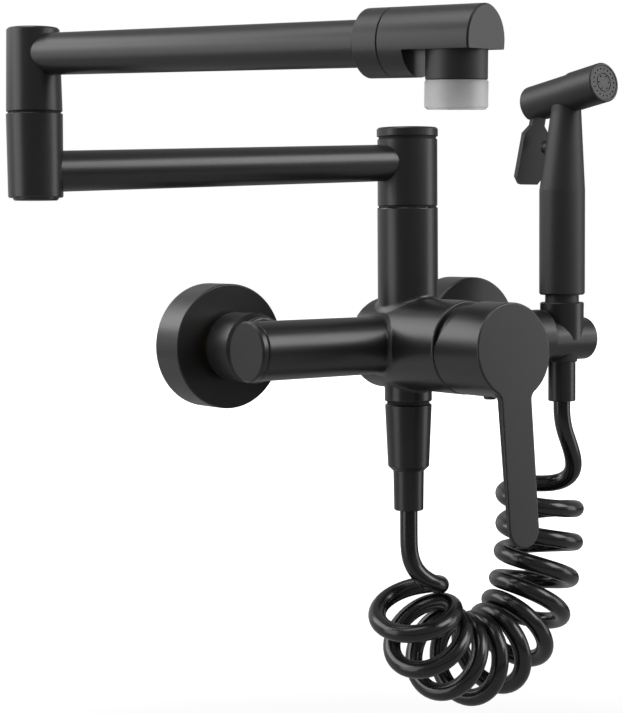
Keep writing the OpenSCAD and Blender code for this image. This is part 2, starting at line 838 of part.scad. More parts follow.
module elbow_spigot() {
  color(brass) at_elbow() difference() {
    rod(elbow_spigot_d, elbow_bottom_z + 4.6, elbow_seam_z + elbow_seam + 14, 0.3, 0.3);
    bore(11, elbow_bottom_z, elbow_top_z);
    for (a = [0, 60, 120]) translate([0, 0, elbow_arm_z + 1]) rotate([0, 90, a])
      cylinder(d = 7, h = 40, center = true);
    for (z = [elbow_seam_z - 5, elbow_seam_z - 11]) difference() {
      bore(elbow_spigot_d + 2, z - 0.9, z + 0.9);
      bore(elbow_spigot_d - 2.2, z - 2, z + 2);
    }
  }
}

module elbow_retainer() {
  color(steel) at_elbow() rod(retainer_d, elbow_bottom_z + 3, elbow_bottom_z + 4.6, 0.2, 0.2);
}

module elbow_upper_sleeve() {
  low = elbow_seam_z + elbow_seam;
  color(black) difference() {
    at_elbow() difference() {
      cone(elbow_d - 0.2, elbow_d - 1.6, low, elbow_top_z, 0.25, 0.7);
      bore(elbow_spigot_d + 2 * seat, low - 1, low + 14);
      bore(elbow_spigot_d - 1, low, elbow_top_z - 3);
    }
    difference() {
      along_upper_arm() rotate([0, 90, 0]) bore(arm_d + 2 * seat, 0, 30);
      at_elbow() bore(2 * elbow_cope_r, 0, 200);
    }
    along_upper_arm() rotate([0, 90, 0]) bore(arm_d - 2 * arm_wall - 1, 0, 30);
  }
}

module upper_arm() {
  color(black) difference() {
    along_upper_arm() rotate([0, 90, 0]) ring(arm_d, arm_d - 2 * arm_wall, 0, tube_end);
    at_elbow() bore(2 * elbow_cope_r, 0, 200);
  }
}

module head_coupling() {
  color(black) along_upper_arm() rotate([0, 90, 0])
    ring(head_d, arm_d + 2 * seat, coupling_start, head_start - 0.1, 0.7, 0.3);
}

module spout_head() {
  color(black) along_upper_arm(head_roll) difference() {
    rotate([0, 90, 0]) {
      rod(head_d, head_start, head_end, 0.3, 0.6);
      rod(arm_d - 2 * seat, tube_end + 0.2, head_start + 1);
    }
    translate([head_end - head_flat_len, -head_d, -head_d - head_flat_drop])
      cube([head_flat_len + 1, 2 * head_d, head_d]);
    rotate([0, 90, 0]) bore(arm_d - 2 * arm_wall - 1, tube_end - 1, head_end - head_flat_len - 2.5);
    translate([0, 0, head_way_rise]) rotate([0, 90, 0])
      bore(head_way_d, head_end - head_flat_len - 4, outlet_t + head_way_d / 2);
    translate([outlet_t, 0, 0]) bore(head_way_d + 0.04, -head_d, head_way_rise);
  }
}

module at_outlet() {
  along_upper_arm(head_roll) translate([outlet_t, 0, -head_flat_drop]) children();
}

module aerator_collar() {
  color(black) at_outlet() difference() {
    union() {
      rod(collar_d, -collar_h, 0, 0.4, 0);
      rod(head_way_d, -1, head_flat_drop - 1, 0, 0.3);
    }
    bore(head_way_d - 2, -collar_h - 1, head_flat_drop + 1);
    bore(collar_d - 3, -collar_h - 1, -3);
  }
}

module aerator_cup() {
  low = -collar_h - cup_h;
  color(frosted) at_outlet() difference() {
    union() {
      rod(cup_d, low, -collar_h, 1, 0.5);
      rod(collar_d - 3 - 2 * seat, -collar_h - 0.5, -collar_h + 5, 0, 0.3);
    }
    bore(cup_d - 5, low - 1, -collar_h + 6);
  }
}

module aerator_insert() {
  low = -collar_h - cup_h;
  color(ceramic) at_outlet() difference() {
    rod(cup_d - 5 - 2 * seat, low + 3, -collar_h + 4, 0.3, 0.3);
    bore(cup_d - 9, low + 6, -collar_h + 5);
    for (a = [0:45:315]) rotate([0, 0, a]) translate([4, 0, 0]) bore(1.6, low + 2, low + 7);
    bore(1.6, low + 2, low + 7);
  }
}

// Hose outlet under the body
module outlet_check_valve() {
  color(ceramic) at_post() difference() {
    rod(way_d - 2 * seat, -outlet_drop - stub_len + 1, -outlet_drop - 1, 0.4, 0.4);
    bore(way_d - 6, -outlet_drop - stub_len, -outlet_drop);
  }
}

module outlet_seal() {
  color(rubber_black) at_post()
    ring(stub_d + 1.4, stub_d + 2 * seat, hose_nut_z, -outlet_drop);
}

module hose_nut() {
  waist = hose_nut_end_z + 2.15;
  color(black) at_post() difference() {
    union() {
      cone(hose_nut_d - 2.6, hose_nut_d, waist, hose_nut_z, 0, 0.5);
      cone(ferrule_left_d + 0.6, hose_nut_d - 2.6, hose_nut_end_z, waist);
    }
    bore(stub_d + 2 * seat, -outlet_drop - stub_len - 4, hose_nut_z + 1);
    bore(ferrule_left_d + 2 * seat, hose_nut_end_z - 1, hose_nut_z);
  }
}

module hose_ferrule_left() {
  neck = -outlet_drop - stub_len;
  color(black) at_post() difference() {
    union() {
      cone(ferrule_left_d - 0.6, ferrule_left_d, ferrule_left_end_z, hose_nut_end_z, 0.4, 0);
      rod(ferrule_left_d, hose_nut_end_z - 0.5, neck);
      rod(stub_d, neck - 4, neck, 0, 0.3);
    }
    bore(hose_d - 2, ferrule_left_end_z + 3, neck + 1);
    bore(hose_d - 4, ferrule_left_end_z - 1, neck);
  }
}

// Curly hose
module hose_lead() {
  color(rubber_black)
    tube(concat(lead_points, [coil_point(coil_from)]), [0, 0, -1], coil_heading(coil_from), 8);
}

module hose_coil() {
  step = 1 / rings_per_loop;
  turns = [for (turn = [coil_from:step:coil_to - step / 2]) turn];
  color(rubber_black)
    tube([for (turn = concat(turns, [coil_to])) coil_point(turn)],
      coil_heading(coil_from), coil_heading(coil_to), 6);
}

module hose_tail() {
  color(rubber_black)
    tube(concat([coil_point(coil_to)], tail_points), coil_heading(coil_to), [0, 0, 1], 8);
}

module hose_ferrule_right() {
  color(black) at_handset() difference() {
    rod(ferrule_right_d, -ferrule_right_drop, neck_seat_z, 0.4, 0.2);
    bore(hose_d - 2, 3 - ferrule_right_drop, neck_seat_z + 1);
    bore(hose_d - 4, -ferrule_right_drop - 1, 0);
  }
}

// Handset holder
module spray_holder() {
  color(black) difference() {
    union() {
      along_bar(holder_drop) rod(holder_d, bar_right_x, holder_end_x, 0, 1.5);
      along_bar() rod(9, bar_right_x - 3.4, bar_right_x + 1);
      at_handset() rod(holder_collar_d, -holder_drop, holder_collar_h, 0, 0.5);
    }
    at_handset() {
      bore(neck_bore_d, neck_seat_z, holder_collar_h + 1);
      bore(ferrule_bore_d, -20, neck_seat_z + 1);
      bore(bush_d + 2 * seat, -20, bush_top_z);
    }
    along_bar() {
      bore(4.04, bar_right_x - 4, handset_x);
      bore(7.6, handset_x - 11, handset_x);
    }
  }
}

module holder_screw() {
  color(steel) along_bar() {
    rod(7.5, handset_x - 11, handset_x - 9.1, 0, 0.4);
    rod(4, bar_right_x - 5, handset_x - 10.5, 0.4, 0);
  }
}

module holder_bush() {
  color(rubber_black) at_handset()
    ring(bush_d, ferrule_bore_d, bush_end_z, bush_top_z, 0.3, 0);
}

// Handset
module spray_handle() {
  top = taper_z + taper_len;
  color(black) difference() {
    union() {
      at_handset() {
        rod(handle_d, handle_z, taper_z + 0.1, 0.8, 0);
        rod(neck_d, neck_seat_z, handle_z + 1, 0.4, 0);
        hull() {
          translate([0, 0, taper_z]) cylinder(d = handle_d, h = 0.1);
          translate([0, -taper_shift, top]) cylinder(d = taper_d, h = 0.1);
        }
        translate([0, -taper_shift, top - 1]) cylinder(d = taper_d, h = 7);
      }
    }
    along_spray() {
      bore(spray_d + 2 * seat, -5, spray_step_len + seat);
      bore(spray_rear_d + 2 * seat, -5, spray_len + 5);
    }
    at_handset() {
      bore(9, neck_seat_z - 1, taper_z + 10);
      translate([0, 0, taper_z + 6]) rotate([atan(taper_shift / taper_len), 0, 0]) bore(7, 0, 60);
      translate([0, 0, valve_z]) rotate([-90, 0, 0]) bore(4 + 2 * seat, 2, 30);
    }
  }
}

module spray_head() {
  slot_w = trigger_neck_w + 2 * free;
  color(black) difference() {
    along_spray() {
      rod(spray_d, 0, spray_step_len, 0.5, 0.3);
      rod(spray_rear_d, spray_step_len - 1, spray_len, 0, 3);
    }
    along_spray() {
      bore(spray_d - 2.6, -1, 3.4);
      bore(spray_d - 5, 0, spray_bore_len);
    }
    at_handset() {
      at_trigger_pin() cylinder(d = trigger_pin_d, h = 12, center = true);
      translate([-slot_w / 2, trigger_pin_y - 5, trigger_pin_z - 12]) cube([slot_w, 8.6, 15]);
      translate([0, -taper_shift, spray_z - 12]) cylinder(d = 7, h = 10);
    }
  }
}

// Rubber face with two rings of spray holes and a groove between them
module nozzle_plate() {
  plate_d = spray_d - 2.6 - 2 * seat;
  groove_d = 0.56 * plate_d;
  outer_r = 0.4 * plate_d;
  inner_r = 0.2 * plate_d;
  color(rubber_grey) along_spray() difference() {
    rod(plate_d, 0.25, 3.4, 0.2, 0);
    ring(groove_d, groove_d - 1, 0, 0.8);
    for (a = [0:20:340]) rotate([0, 0, a]) translate([outer_r, 0, 0]) bore(0.9, 0, 4);
    for (a = [0:60:300]) rotate([0, 0, a]) translate([inner_r, 0, 0]) bore(0.9, 0, 4);
  }
}

module spray_valve() {
  color(black) at_valve() {
    rod(4, 2.2, valve_tip_y, 0, 1);
    rod(6.6, valve_tip_y - 2.6, valve_tip_y - 1.4, 0.2, 0.2);
  }
}

// Local +Z runs back from the handset's axis along the valve stem
module at_valve() {
  at_handset() translate([0, 0, valve_z]) rotate([-90, 0, 0]) children();
}

// Local +Z runs along the trigger pin
module at_trigger_pin() {
  translate([0, trigger_pin_y, trigger_pin_z]) rotate([0, 90, 0]) children();
}

// Tongue of the trigger, hanging from its neck inside the spray head
module trigger_outline() {
  neck = trigger_neck_w / 2;
  half = trigger_w / 2;
  low = -trigger_neck_len - trigger_len;
  polygon([
    [neck, 0], [neck, -trigger_neck_len - 0.6], [half - 0.6, -trigger_neck_len - 4.8],
    [half, low + 3.8], [half - 3.1, low], [3.1 - half, low], [-half, low + 3.8],
    [0.6 - half, -trigger_neck_len - 4.8], [-neck, -trigger_neck_len - 0.6], [-neck, 0],
  ]);
}

module trigger() {
  color(black) at_handset() difference() {
    union() {
      translate([0, trigger_pin_y, trigger_pin_z]) rotate([90 + trigger_splay, 0, 0])
        linear_extrude(height = trigger_t, center = true) trigger_outline();
      at_trigger_pin() cylinder(r = 2.4, h = trigger_neck_w, center = true);
    }
    at_trigger_pin() cylinder(d = trigger_pin_d + 2 * run, h = 30, center = true);
  }
}

module trigger_pin() {
  color(steel) at_handset() at_trigger_pin() cylinder(d = trigger_pin_d, h = 12, center = true);
}

module trigger_spring() {
  color(black) at_valve() ring(6, 4.6, valve_tip_y - 5.4, valve_tip_y - 2.6);
}

wall_union_left();
wall_union_right();
escutcheon_left();
escutcheon_right();
filter_washer_left();
filter_washer_right();
union_nut_left();
union_nut_right();
inlet_nipple_left();
inlet_nipple_right();
mixer_body();
bar_plug();
diverter();
cartridge();
cartridge_nut();
cartridge_cover();
cartridge_rotor();
stem_pin();
lever_stem();
lever_handle();
lever_set_screw();
lever_plug();
post_spigot();
post_seam_washer();
post_cap_washer();
post_cap();
post_sleeve();
lower_arm();
elbow_lower_sleeve();
elbow_plug();
elbow_washer();
elbow_spigot();
elbow_retainer();
elbow_upper_sleeve();
upper_arm();
head_coupling();
spout_head();
aerator_collar();
aerator_cup();
aerator_insert();
outlet_check_valve();
outlet_seal();
hose_nut();
hose_ferrule_left();
hose_lead();
hose_coil();
hose_tail();
hose_ferrule_right();
spray_holder();
holder_screw();
holder_bush();
spray_handle();
spray_head();
nozzle_plate();
spray_valve();
trigger();
trigger_pin();
trigger_spring();
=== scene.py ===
"""Dress the wall-mounted kitchen faucet: skins, hose, finishes, lights and camera.

Lengths are in metres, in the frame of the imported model: the origin is midway
between the inlets on the wall plane, +X is the user's right, -Y comes towards
the user and +Z is up.
"""
import json
import math

import bpy
import numpy as np
from mathutils import Matrix, Vector

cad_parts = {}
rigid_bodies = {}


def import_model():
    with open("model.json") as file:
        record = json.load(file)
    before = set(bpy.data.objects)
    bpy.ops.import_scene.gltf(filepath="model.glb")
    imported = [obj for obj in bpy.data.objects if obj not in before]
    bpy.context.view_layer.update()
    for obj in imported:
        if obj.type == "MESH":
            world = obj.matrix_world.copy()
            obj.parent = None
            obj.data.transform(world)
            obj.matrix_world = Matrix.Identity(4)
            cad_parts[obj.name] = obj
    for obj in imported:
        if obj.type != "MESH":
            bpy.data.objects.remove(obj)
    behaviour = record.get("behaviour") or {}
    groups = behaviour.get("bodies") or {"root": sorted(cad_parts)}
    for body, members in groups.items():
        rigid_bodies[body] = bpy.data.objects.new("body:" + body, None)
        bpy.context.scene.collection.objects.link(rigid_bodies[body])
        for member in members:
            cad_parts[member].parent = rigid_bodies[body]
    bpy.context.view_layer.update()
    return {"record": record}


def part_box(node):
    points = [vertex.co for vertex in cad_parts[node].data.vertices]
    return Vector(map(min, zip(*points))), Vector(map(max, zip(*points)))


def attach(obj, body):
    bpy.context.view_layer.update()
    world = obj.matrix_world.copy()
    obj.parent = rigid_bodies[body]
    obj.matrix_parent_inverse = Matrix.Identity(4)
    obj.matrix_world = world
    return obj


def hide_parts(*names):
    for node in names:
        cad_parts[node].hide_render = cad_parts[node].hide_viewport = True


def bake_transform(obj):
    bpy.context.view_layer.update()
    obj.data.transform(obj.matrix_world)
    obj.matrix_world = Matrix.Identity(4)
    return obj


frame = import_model()


def middle(node):
    """Centre of a node's box at rest."""
    low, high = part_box(node)
    return [(a + b) / 2 for a, b in zip(low, high)]


# Axes of the faucet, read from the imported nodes
BAR_Y = middle("bar_plug")[1]
FRONT_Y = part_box("mixer_body")[0][1]
INLET_X = middle("wall_union_right")[0]


# Camera at the photograph's viewing angle
IMAGE_W = 623
IMAGE_H = 713
FOCAL_PX = 1820.2
CAMERA_AT = (-0.54235, -0.72912, 0.05301)
CAMERA_YAW = math.radians(35.9035)
CAMERA_PITCH = math.radians(3.9118)
CAMERA_ROLL = math.radians(-0.4437)
SENSOR_MM = 36


def add_camera():
    yaw, pitch, roll = CAMERA_YAW, CAMERA_PITCH, CAMERA_ROLL
    ahead = Vector((math.sin(yaw) * math.cos(pitch), math.cos(yaw) * math.cos(pitch), -math.sin(pitch)))
    level = Vector((math.cos(yaw), -math.sin(yaw), 0))
    upward = level.cross(ahead)
    right = math.cos(roll) * level + math.sin(roll) * upward
    up = -math.sin(roll) * level + math.cos(roll) * upward
    data = bpy.data.cameras.new("camera")
    data.sensor_width = SENSOR_MM
    data.lens = FOCAL_PX * SENSOR_MM / max(IMAGE_W, IMAGE_H)
    data.clip_start = 0.01
    camera = bpy.data.objects.new("camera", data)
    turn = Matrix((right, up, -ahead)).transposed().to_4x4()
    camera.matrix_world = Matrix.Translation(CAMERA_AT) @ turn
    bpy.context.collection.objects.link(camera)
    bpy.context.scene.camera = camera


add_camera()


# Shader maths
class Signal:
    """A node's output socket that takes part in sums."""

    def __init__(self, recipe, socket):
        self.recipe = recipe
        self.socket = socket

    def maths(self, operation, first, second):
        return self.recipe.node("ShaderNodeMath", {"operation": operation}, {0: first, 1: second})

    def __add__(self, other):
        return self.maths("ADD", self, other)

    __radd__ = __add__

    def __sub__(self, other):
        return self.maths("SUBTRACT", self, other)

    def __rsub__(self, other):
        return self.maths("SUBTRACT", other, self)

    def __mul__(self, other):
        return self.maths("MULTIPLY", self, other)

    __rmul__ = __mul__


class Recipe:
    """One material's nodes."""

    def __init__(self, name):
        self.material = bpy.data.materials.new(name)
        self.material.use_nodes = True
        self.tree = self.material.node_tree
        self.tree.nodes.clear()

    @classmethod
    def on(cls, tree):
        recipe = cls.__new__(cls)
        recipe.tree = tree
        tree.nodes.clear()
        return recipe

    def shows_backdrop(self, in_gloss):
        """1 for rays to the eye or through clear plastic, less for the backdrop's mirror image in a gloss."""
        seen = self.node("ShaderNodeLightPath", output="Is Camera Ray")
        through = self.node("ShaderNodeLightPath", output="Is Transmission Ray")
        mirrored = self.node("ShaderNodeLightPath", output="Is Glossy Ray")
        return seen + through * (1 - seen) + mirrored * in_gloss

    def node(self, kind, settings=None, inputs=None, output=0):
        made = self.tree.nodes.new(kind)
        for key, value in (settings or {}).items():
            setattr(made, key, value)
        for key, value in (inputs or {}).items():
            if isinstance(value, Signal):
                self.tree.links.new(value.socket, made.inputs[key])
            else:
                made.inputs[key].default_value = value
        return None if output is None else Signal(self, made.outputs[output])

    def place(self):
        return self.node("ShaderNodeTexCoord", output="Object")

    def noise(self, scale, detail=3.0, roughness=0.5):
        inputs = {"Vector": self.place(), "Scale": scale, "Detail": detail, "Roughness": roughness}
        return self.node("ShaderNodeTexNoise", None, inputs)

    def between(self, amount, low, high):
        return self.node("ShaderNodeMix", {"data_type": "RGBA"}, {0: amount, 6: low, 7: high}, 2)

    def bump(self, height, strength, distance):
        inputs = {"Strength": strength, "Distance": distance, "Height": height}
        return self.node("ShaderNodeBump", None, inputs)

    def finish(self, **sockets):
        inputs = {key.replace("_", " "): value for key, value in sockets.items()}
        return self.show(self.node("ShaderNodeBsdfPrincipled", None, inputs))

    def show(self, surface):
        self.node("ShaderNodeOutputMaterial", None, {"Surface": surface}, None)
        return self.material


def grey(level, warmth=0.0):
    return (level * (1 + warmth), level, level * (1 - warmth), 1)


def satin_black():
    """Powder coating on the metal parts: dark, even, with a very fine grain."""
    r = Recipe("satin_black")
    cloud = r.noise(38, 4)
    grain = r.noise(2600, 2)
    return r.finish(
        Base_Color=r.between(cloud, grey(0.008), grey(0.011)),
        Roughness=0.27 + 0.07 * cloud + 0.03 * grain,
        Normal=r.bump(grain, 0.05, 0.00004),
    )


def moulded_black():
    """Painted plastic of the handset, a little softer than the metal parts."""
    r = Recipe("moulded_black")
    cloud = r.noise(30, 4)
    grain = r.noise(1900, 2)
    return r.finish(
        Base_Color=r.between(cloud, grey(0.009), grey(0.012)),
        Roughness=0.42 + 0.07 * cloud + 0.04 * grain,
        Normal=r.bump(grain, 0.06, 0.00005),
    )


def hose_gloss():
    """Polyurethane of the curls: glossy, with faint flow marks."""
    r = Recipe("hose_gloss")
    flow = r.noise(160, 3)
    return r.finish(
        Base_Color=r.between(flow, grey(0.005), grey(0.008)),
        Roughness=0.16 + 0.10 * flow,
        Normal=r.bump(flow, 0.08, 0.0001),
    )


def rubber(name, darkest, lightest, smoothest):
    r = Recipe(name)
    speck = r.noise(900, 3)
    return r.finish(
        Base_Color=r.between(speck, grey(darkest), grey(lightest)),
        Roughness=smoothest + 0.12 * speck,
        Normal=r.bump(speck, 0.1, 0.00005),
    )


def turned_brass():
    r = Recipe("turned_brass")
    cloud = r.noise(90, 4)
    return r.finish(
        Base_Color=r.between(cloud, (0.62, 0.45, 0.19, 1), (0.70, 0.53, 0.26, 1)),
        Metallic=1.0,
        Roughness=0.28 + 0.15 * cloud,
    )


def turned_steel():
    r = Recipe("turned_steel")
    cloud = r.noise(120, 4)
    return r.finish(
        Base_Color=r.between(cloud, grey(0.50), grey(0.58)),
        Metallic=1.0,
        Roughness=0.26 + 0.14 * cloud,
    )


def cartridge_plastic():
    r = Recipe("cartridge_plastic")
    cloud = r.noise(70, 3)
    return r.finish(
        Base_Color=r.between(cloud, grey(0.52, 0.01), grey(0.60, 0.01)),
        Roughness=0.45 + 0.1 * cloud,
    )


def frosted_cup():
    """Translucent aerator cup with a matt skin."""
    r = Recipe("frosted_cup")
    haze = r.noise(700, 3)
    return r.finish(
        Base_Color=r.between(haze, grey(0.80), grey(0.86)),
        Roughness=0.38 + 0.1 * haze,
        Transmission_Weight=0.7,
        IOR=1.45,
        Normal=r.bump(haze, 0.15, 0.0001),
    )


FINISHES = {
    "black_coat": satin_black(),
    "black_plastic": moulded_black(),
    "hose": hose_gloss(),
    "seal": rubber("dull_rubber", 0.008, 0.014, 0.72),
    "grey_rubber": rubber("grey_rubber", 0.055, 0.075, 0.50),
    "brass": turned_brass(),
    "steel": turned_steel(),
    "cartridge_plastic": cartridge_plastic(),
    "frosted_cup": frosted_cup(),
}


def wear(obj, finish):
    obj.data.materials.clear()
    obj.data.materials.append(FINISHES[finish])


def finish_cad_nodes():
    for part in frame["record"]["subparts"]:
        node = bpy.data.objects[part["node"]]
        wear(node, part["material_slot"])


finish_cad_nodes()


# Skins: dense meshes drawn onto a distance field, so that joins are filleted
def rod(points, start, end, radius, edge=0.0):
    """Distance to a straight rod with rounded edges."""
    start, end = np.array(start), np.array(end)
    length = np.linalg.norm(end - start)
    axis = (end - start) / length
    offset = points - start
    along = offset @ axis
    radial = np.linalg.norm(offset - along[:, None] * axis, axis=1)
    out_side = radial - (radius - edge)
    out_end = np.abs(along - length / 2) - (length / 2 - edge)
    inside = np.minimum(np.maximum(out_side, out_end), 0)
    return inside + np.hypot(np.maximum(out_side, 0), np.maximum(out_end, 0)) - edge


def fillet(a, b, radius):
    """Union of two fields with a round fillet in the corner."""
    corner = np.hypot(np.maximum(radius - a, 0), np.maximum(radius - b, 0))
    return np.maximum(radius, np.minimum(a, b)) - corner


def crest(a, b, radius):
    """Overlap of two fields with a round edge."""
    corner = np.hypot(np.maximum(radius + a, 0), np.maximum(radius + b, 0))
    return np.minimum(-radius, np.maximum(a, b)) + corner


def slopes(field, points, step=2e-5):
    pairs = [(field(points + side) - field(points - side)) / (2 * step) for side in np.eye(3) * step]
    return np.stack(pairs, axis=-1)


def settle(field, points, cell, rounds=4):
    """Move points onto the surface of the field."""
    for _ in range(rounds):
        slope = slopes(field, points)
        steep = np.maximum((slope ** 2).sum(axis=1), 0.05)
        move = -(field(points) / steep)[:, None] * slope
        far = np.linalg.norm(move, axis=1, keepdims=True)
        points = points + move * np.minimum(1, cell / np.maximum(far, 1e-9))
    return points


def net(field, low, high, cell):
    """Quads that wrap the field, one corner in each grid cell that the surface crosses."""
    axes = [np.arange(a - 2 * cell, b + 3 * cell, cell) for a, b in zip(low, high)]
    grid = np.stack(np.meshgrid(*axes, indexing="ij"), axis=-1)
    inside = (field(grid.reshape(-1, 3)) < 0).reshape(grid.shape[:3])
    wide, deep, high_up = (side - 1 for side in inside.shape)
    count = sum(
        inside[i:wide + i, j:deep + j, k:high_up + k].astype(np.int8)
        for i in (0, 1) for j in (0, 1) for k in (0, 1)
    )
    crossed = (count > 0) & (count < 8)
    index = np.full(count.shape, -1)
    index[crossed] = np.arange(crossed.sum())
    points = grid[:-1, :-1, :-1][crossed] + cell / 2
    quads = []
    for axis in range(3):
        first = np.moveaxis(inside, axis, 0)
        cells = np.moveaxis(index, axis, 0)
        here, there = first[:-1, 1:-1, 1:-1], first[1:, 1:-1, 1:-1]
        ring = [cells[:, :-1, :-1], cells[:, 1:, :-1], cells[:, 1:, 1:], cells[:, :-1, 1:]]
        for leaving in (True, False):
            flip = here & ~there if leaving else ~here & there
            corners = np.stack([side[flip] for side in ring], axis=-1)
            forward = leaving != (axis == 1)
            quads.append(corners if forward else corners[:, ::-1])
    return points, np.concatenate(quads)


def relax(points, quads, rounds=2):
    """Even out the mesh by moving each corner towards its neighbours."""
    for _ in range(rounds):
        total = np.zeros_like(points)
        count = np.zeros(len(points))
        for a, b in ((0, 1), (1, 2), (2, 3), (3, 0)):
            np.add.at(total, quads[:, a], points[quads[:, b]])
            np.add.at(total, quads[:, b], points[quads[:, a]])
            np.add.at(count, quads[:, a], 1)
            np.add.at(count, quads[:, b], 1)
        points = total / count[:, None]
    return points


def as_object(name, points, faces, finish):
    mesh = bpy.data.meshes.new(name)
    mesh.from_pydata([tuple(p) for p in points], [], [tuple(int(i) for i in f) for f in faces])
    mesh.update()
    mesh.shade_smooth()
    obj = bpy.data.objects.new(name, mesh)
    bpy.context.collection.objects.link(obj)
    wear(obj, finish)
    return obj


def skin(name, field, low, high, cell, finish):
    points, quads = net(field, low, high, cell)
    points = settle(field, points, cell)
    points = settle(field, relax(points, quads), cell)
    obj = as_object(name, points, quads, finish)
    normals = slopes(field, points)
    normals /= np.maximum(np.linalg.norm(normals, axis=1, keepdims=True), 1e-9)
    obj.data.normals_split_custom_set_from_vertices([tuple(n) for n in normals])
    return obj


# Curly hose: the lead under the left ferrule, the coil and the tail up to the handset
HOSE_D = 0.0085
LEAD = [
    (0, -0.0582, -0.0795), (0, -0.0582, -0.086), (0, -0.0582, -0.092), (0.0001, -0.0583, -0.0976),
    (0.0006, -0.0589, -0.1028), (0.0019, -0.0602, -0.1074), (0.0042, -0.0621, -0.1112),
    (0.0074, -0.0639, -0.114), (0.0112, -0.0646, -0.1159), (0.0148, -0.0634, -0.1168),
    (0.0171, -0.0604, -0.1171), (0.0174, -0.0566, -0.1175), (0.016, -0.053, -0.1182),
]
TAIL = [
    (0.093, -0.0364, -0.0775), (0.0985, -0.0376, -0.0777), (0.1034, -0.0402, -0.0779),
    (0.1074, -0.0439, -0.0775), (0.1101, -0.0483, -0.0759), (0.1113, -0.0523, -0.0729),
    (0.1109, -0.0552, -0.0689), (0.1092, -0.057, -0.0643), (0.107, -0.0579, -0.0595),
    (0.1047, -0.0582, -0.0546), (0.1025, -0.0582, -0.0496), (0.1009, -0.0582, -0.0445),
    (0.1001, -0.0582, -0.039), (0.1, -0.0582, -0.0334),
]
COIL_R = 0.0188
BEND_R = 0.043
BEND_FROM = math.radians(188.3)
BEND_TO = math.radians(340.5)
RISE_R = 0.102
CLIMB_X = 0.0874
CLIMB_Z = -0.0942
BEND_PITCH = 0.0162
CLIMB_PITCH = 0.0155
COIL_LEAN = 0.078
COIL_MIDDLE_X = 0.05
COIL_TURNS = (0.1, 10.25)
STEPS_PER_TURN = 48
HOSE_SIDES = 24


def coil_point(turn):
    """A point on the coil: the axis bends from the left, eases upright and climbs."""
    bend_len = BEND_R * (BEND_TO - BEND_FROM)
    rise_len = bend_len + RISE_R * (2 * math.pi - BEND_TO)
    along = turn * BEND_PITCH
    if along > rise_len:
        along = rise_len + (turn - rise_len / BEND_PITCH) * CLIMB_PITCH
    if along < bend_len:
        angle = BEND_FROM + along / BEND_R
    else:
        angle = min(2 * math.pi, BEND_TO + (along - bend_len) / RISE_R)
    out = Vector((math.cos(angle), 0, math.sin(angle)))
    axis = Vector((CLIMB_X - RISE_R, BAR_Y, CLIMB_Z + max(0, along - rise_len))) + RISE_R * out
    if along < bend_len:
        knee = Vector((math.cos(BEND_TO), 0, math.sin(BEND_TO)))
        axis = Vector((CLIMB_X - RISE_R, BAR_Y, CLIMB_Z)) + (RISE_R - BEND_R) * knee + BEND_R * out
    round_angle = 2 * math.pi * turn
    point = axis + COIL_R * (-math.cos(round_angle) * out + Vector((0, math.sin(round_angle), 0)))
    point.y += COIL_LEAN * (point.x - COIL_MIDDLE_X)
    return point


def smooth_line(points, steps):
    """Extra points on a smooth curve through the given ones."""
    points = [Vector(p) for p in points]
    line = []
    for i in range(len(points) - 1):
        before, here = points[max(i - 1, 0)], points[i]
        there, after = points[i + 1], points[min(i + 2, len(points) - 1)]
        for k in range(steps):
            t = k / steps
            line.append(0.5 * (
                2 * here + (there - before) * t
                + (2 * before - 5 * here + 4 * there - after) * t * t
                + (3 * here - before - 3 * there + after) * t ** 3
            ))
    return line + [points[-1]]


def hose_route():
    first, last = COIL_TURNS
    count = round((last - first) * STEPS_PER_TURN)
    coil = [coil_point(first + (last - first) * i / count) for i in range(count + 1)]
    lead = smooth_line(LEAD + [coil[0]], 4)
    tail = smooth_line([coil[-1]] + TAIL, 4)
    return lead[:-1] + coil + tail[1:]


def tube(points, radius, sides):
    """Rings along a path, turned as little as the path allows; both ends stay open."""
    side = Vector((1, 0, 0))
    rings = []
    for i, point in enumerate(points):
        ahead = (points[min(i + 1, len(points) - 1)] - points[max(i - 1, 0)]).normalized()
        side = (side - side.dot(ahead) * ahead).normalized()
        other = ahead.cross(side)
        for k in range(sides):
            angle = 2 * math.pi * k / sides
            rings.append(point + radius * (math.cos(angle) * side + math.sin(angle) * other))
    faces = []
    for i in range(len(points) - 1):
        for k in range(sides):
            a, b = i * sides + k, i * sides + (k + 1) % sides
            faces.append((a, b, b + sides, a + sides))
    return rings, faces


def add_hose():
    route = hose_route()
    rings, faces = tube(route, HOSE_D / 2, HOSE_SIDES)
    hose = as_object("curly_hose", rings, faces, "hose")
    length = sum((b - a).length for a, b in zip(route, route[1:]))
    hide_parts("hose_lead", "hose_coil", "hose_tail")
    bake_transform(hose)


add_hose()


# One-piece casting: bar, front housing, post, outlet and the two wall bosses
BAR_R = 0.0135
BAR_LEFT = -0.0892
BAR_RIGHT = 0.0855
HOUSING_R = 0.02155
HOUSING_BACK_Y = BAR_Y + 0.0178
POST_R = 0.01425
POST_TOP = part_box("mixer_body")[1][2]
OUTLET_R = 0.0112
OUTLET_Z = -0.02735
STUB_R = 0.0092
STUB_Z = -0.034
BOSS_R = 0.0146
BOSS_Y = (-0.0425, -0.0468)
SADDLE_R = 0.0095
SADDLE_BACK_Y = -0.0445
BODY_FILLET = 0.0018
OUTLET_FILLET = 0.0015
SADDLE_FILLET = 0.002
BOSS_FILLET = 0.0008
CASTING_CELL = 0.0009


